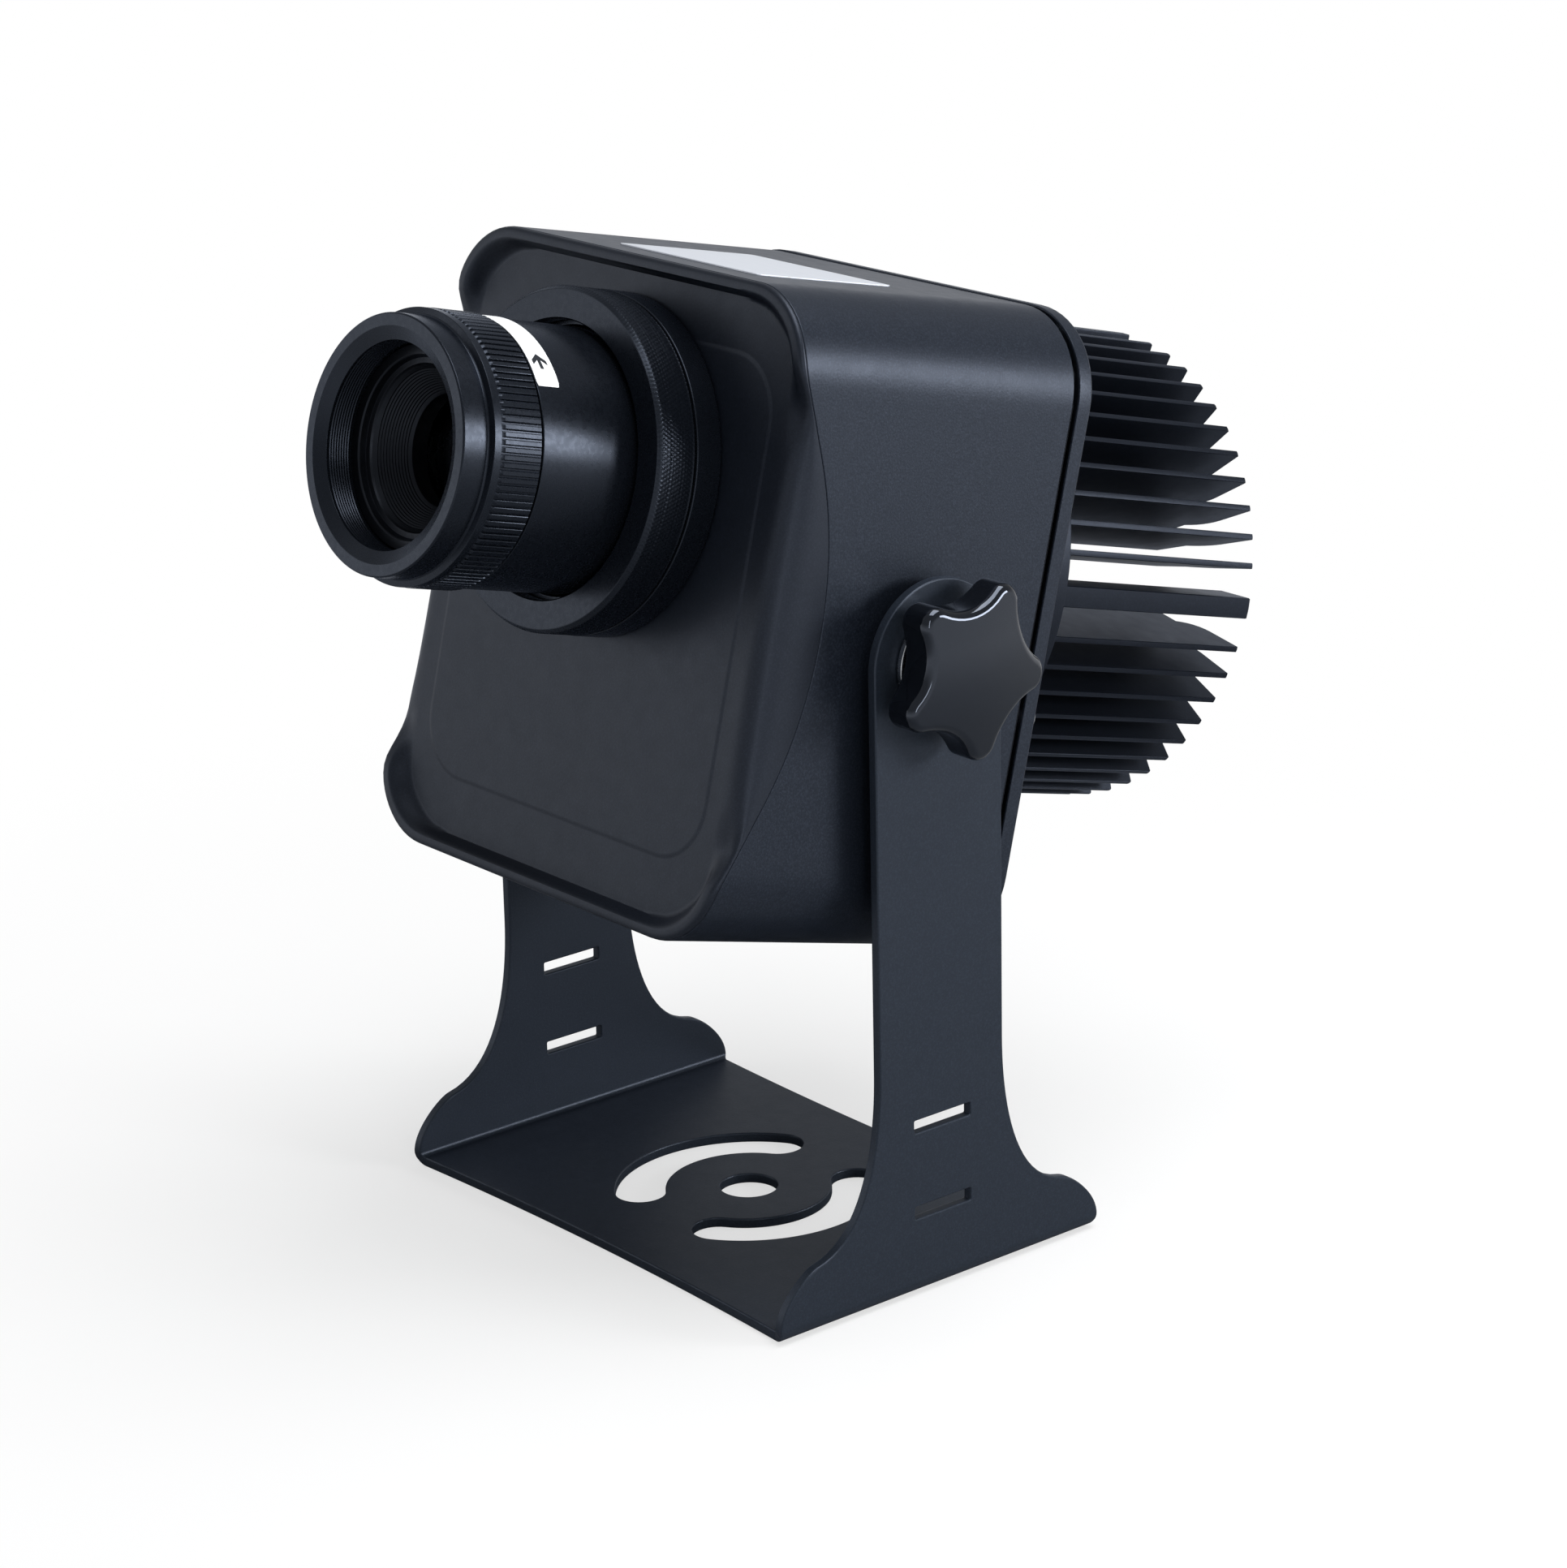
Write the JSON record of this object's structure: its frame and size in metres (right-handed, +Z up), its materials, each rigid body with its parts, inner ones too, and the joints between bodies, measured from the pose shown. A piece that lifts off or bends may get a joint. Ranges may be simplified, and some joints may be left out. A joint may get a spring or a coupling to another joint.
{
  "type": "gobo projector",
  "caption": "Tilting gobo projector with a focusing lens, a finned round heat sink and a U-bracket held by star knobs.",
  "frame": {"origin": "middle of the lamp's length and width, on the surface it stands on", "axes": "+Z up from the base, +X along the tilt axis, to the right for someone facing the lens, and -Y the way the lens faces"},
  "size_m": [0.1692, 0.226, 0.233],
  "materials": {
    "powder_coat": "satin black powder coat",
    "anodised": "black anodised, machined",
    "gloss_plastic": "moulded, polished",
    "nylon": "moulded nylon",
    "steel": "bright zinc plated",
    "glass": "polished and coated",
    "rubber": "moulded rubber",
    "label": "white film",
    "silver_foil": "matt silver foil",
    "bare_aluminium": "plain, milled",
    "brass": "turned",
    "board": "white solder mask on a metal core board",
    "phosphor": "phosphor under silicone",
    "green_plastic": "moulded"
  },
  "bodies": {
    "bracket": {"u_bracket": "powder_coat"},
    "head": {"housing_shell": "powder_coat", "front_bezel": "powder_coat", "bezel_screw_1": "steel", "bezel_screw_2": "steel", "bezel_screw_3": "steel", "bezel_screw_4": "steel", "rear_gasket": "rubber", "rear_cover": "powder_coat", "cover_screw_1": "steel", "cover_screw_2": "steel", "cover_screw_3": "steel", "cover_screw_4": "steel", "cover_screw_5": "steel", "cover_screw_6": "steel", "heat_sink": "anodised", "sink_screw_1": "steel", "sink_screw_2": "steel", "sink_screw_3": "steel", "sink_screw_4": "steel", "led_board": "board", "led_module": "phosphor", "condenser_tube": "anodised", "condenser_lens_rear": "glass", "condenser_lens_front": "glass", "condenser_spacer": "anodised", "gobo_holder": "bare_aluminium", "gobo_disc": "glass", "gobo_clip": "steel", "lens_base_ring": "anodised", "neck_nut": "anodised", "top_label": "silver_foil", "right_thread_insert": "brass", "right_pivot_bush": "rubber", "left_thread_insert": "brass", "left_pivot_bush": "rubber", "driver_plate": "bare_aluminium", "driver_module": "bare_aluminium", "terminal_block": "green_plastic", "gland_body": "nylon", "gland_cap": "nylon", "gland_locknut": "nylon"},
    "lock_collar": {"lock_ring": "anodised"},
    "lens_tube": {"lens_barrel": "anodised", "rear_lens": "glass", "rear_retainer": "anodised", "arrow_label": "label"},
    "focus_grip": {"focus_ring": "anodised"},
    "focus_group": {"focus_cell": "anodised", "front_lens": "glass", "lens_baffle": "anodised"},
    "right_clamp_washer": {"right_washer": "steel"},
    "right_clamp_knob": {"right_knob": "gloss_plastic", "right_knob_stud": "steel"},
    "left_clamp_washer": {"left_washer": "steel"},
    "left_clamp_knob": {"left_knob": "gloss_plastic", "left_knob_stud": "steel"}
  },
  "joints": [
    {"name": "tilt", "type": "hinge", "parent": "bracket", "child": "head", "pos_m": [0, -0.01073, 0.149], "axis": [-1, 0, 0], "range_deg": [-104, 76]},
    {"name": "lock_ring_turn", "type": "hinge", "parent": "head", "child": "lock_collar", "pos_m": [0, -0.05248, 0.18826], "axis": [0, -0.9703, 0.2419], "range_deg": [0, 60]},
    {"name": "lens_slide", "type": "slide", "parent": "head", "child": "lens_tube", "axis": [0, -0.9703, 0.2419], "range_m": [0, 0.012]},
    {"name": "focus_turn", "type": "hinge", "parent": "lens_tube", "child": "focus_grip", "pos_m": [0, -0.05248, 0.18826], "axis": [0, -0.9703, 0.2419], "range_deg": [0, 270]},
    {"name": "focus_travel", "type": "slide", "parent": "lens_tube", "child": "focus_group", "axis": [0, -0.9703, 0.2419], "range_m": [-0.008, 0]},
    {"name": "right_washer_travel", "type": "slide", "parent": "head", "child": "right_clamp_washer", "axis": [1, 0, 0], "range_m": [0, 0.0025]},
    {"name": "right_knob_turn", "type": "hinge", "parent": "right_clamp_washer", "child": "right_clamp_knob", "pos_m": [0, -0.01073, 0.149], "axis": [1, 0, 0], "range_deg": [0, 720]},
    {"name": "left_washer_travel", "type": "slide", "parent": "head", "child": "left_clamp_washer", "axis": [-1, 0, 0], "range_m": [0, 0.0025]},
    {"name": "left_knob_turn", "type": "hinge", "parent": "left_clamp_washer", "child": "left_clamp_knob", "pos_m": [0, -0.01073, 0.149], "axis": [-1, 0, 0], "range_deg": [0, 720]}
  ],
  "couplings": [
    {"joint": "focus_travel", "follows": "focus_turn", "m_per_rad": -0.001697},
    {"joint": "right_washer_travel", "follows": "right_knob_turn", "m_per_rad": 0.00019894},
    {"joint": "left_washer_travel", "follows": "left_knob_turn", "m_per_rad": 0.00019894}
  ]
}
